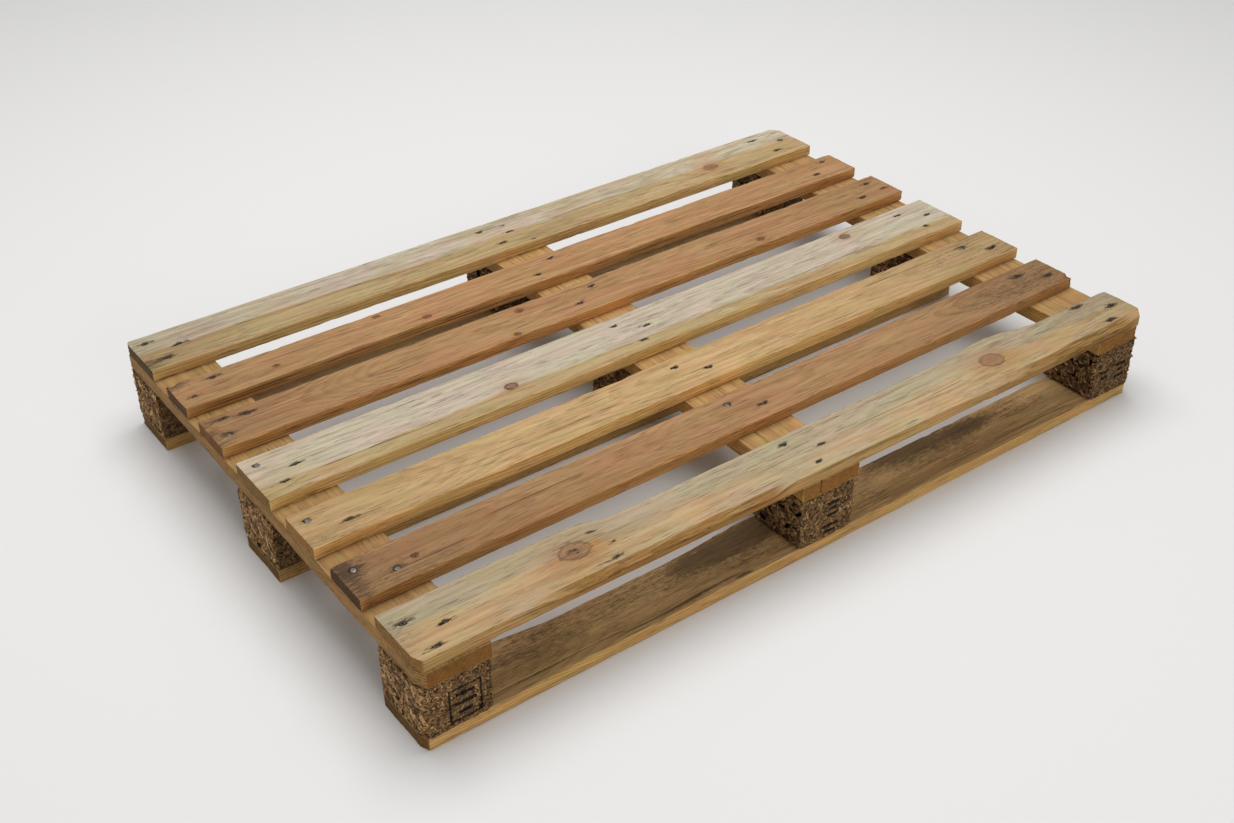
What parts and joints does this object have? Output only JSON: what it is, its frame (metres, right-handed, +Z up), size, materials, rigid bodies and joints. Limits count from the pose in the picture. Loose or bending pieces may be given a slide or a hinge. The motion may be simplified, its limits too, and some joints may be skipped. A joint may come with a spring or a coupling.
{
  "type": "wooden pallet",
  "caption": "Flat four-way timber pallet with spaced deck boards on crosswise boards, square pressed chip blocks and base boards, nailed together and open for forks on every side.",
  "frame": {"origin": "middle of the pallet's footprint, on the floor", "axes": "+X along the deck boards, +Y along the stringer boards towards the back, +Z up"},
  "size_m": [1.2, 0.8, 0.135],
  "materials": {
    "weathered_pine": "rough sawn softwood, silvered by weather, with brown dirt in the grain",
    "red_pine": "rough sawn reddish softwood with visible growth rings",
    "yellow_pine": "rough sawn yellow softwood, dull, with knots",
    "base_pine": "rough sawn softwood with dark dirt stains",
    "pressed_chip": "pressed chips with resin, coarse on the sawn ends and smoother on the pressed sides",
    "nail_steel": "dull steel with brown oxide, worn bright on some heads"
  },
  "bodies": {
    "root": {"deck_board_1": "weathered_pine", "deck_board_2": "red_pine", "deck_board_3": "red_pine", "deck_board_4": "weathered_pine", "deck_board_5": "yellow_pine", "deck_board_6": "red_pine", "deck_board_7": "yellow_pine", "stringer_board_left": "yellow_pine", "stringer_board_middle": "yellow_pine", "stringer_board_right": "yellow_pine", "base_board_front": "base_pine", "base_board_middle": "base_pine", "base_board_back": "base_pine", "block_front_left": "pressed_chip", "block_front_middle": "pressed_chip", "block_front_right": "pressed_chip", "block_middle_left": "pressed_chip", "block_middle_middle": "pressed_chip", "block_middle_right": "pressed_chip", "block_back_left": "pressed_chip", "block_back_middle": "pressed_chip", "block_back_right": "pressed_chip", "deck_nail_1_left": "nail_steel", "deck_nail_1_middle": "nail_steel", "deck_nail_1_right": "nail_steel", "deck_nail_2_left": "nail_steel", "deck_nail_2_middle": "nail_steel", "deck_nail_2_right": "nail_steel", "deck_nail_3_left": "nail_steel", "deck_nail_3_middle": "nail_steel", "deck_nail_3_right": "nail_steel", "deck_nail_4_left": "nail_steel", "deck_nail_4_middle": "nail_steel", "deck_nail_4_right": "nail_steel", "deck_nail_5_left": "nail_steel", "deck_nail_5_middle": "nail_steel", "deck_nail_5_right": "nail_steel", "deck_nail_6_left": "nail_steel", "deck_nail_6_middle": "nail_steel", "deck_nail_6_right": "nail_steel", "deck_nail_7_left": "nail_steel", "deck_nail_7_middle": "nail_steel", "deck_nail_7_right": "nail_steel", "base_nail_front_left": "nail_steel", "base_nail_front_middle": "nail_steel", "base_nail_front_right": "nail_steel", "base_nail_middle_left": "nail_steel", "base_nail_middle_middle": "nail_steel", "base_nail_middle_right": "nail_steel", "base_nail_back_left": "nail_steel", "base_nail_back_middle": "nail_steel", "base_nail_back_right": "nail_steel"}
  },
  "joints": []
}
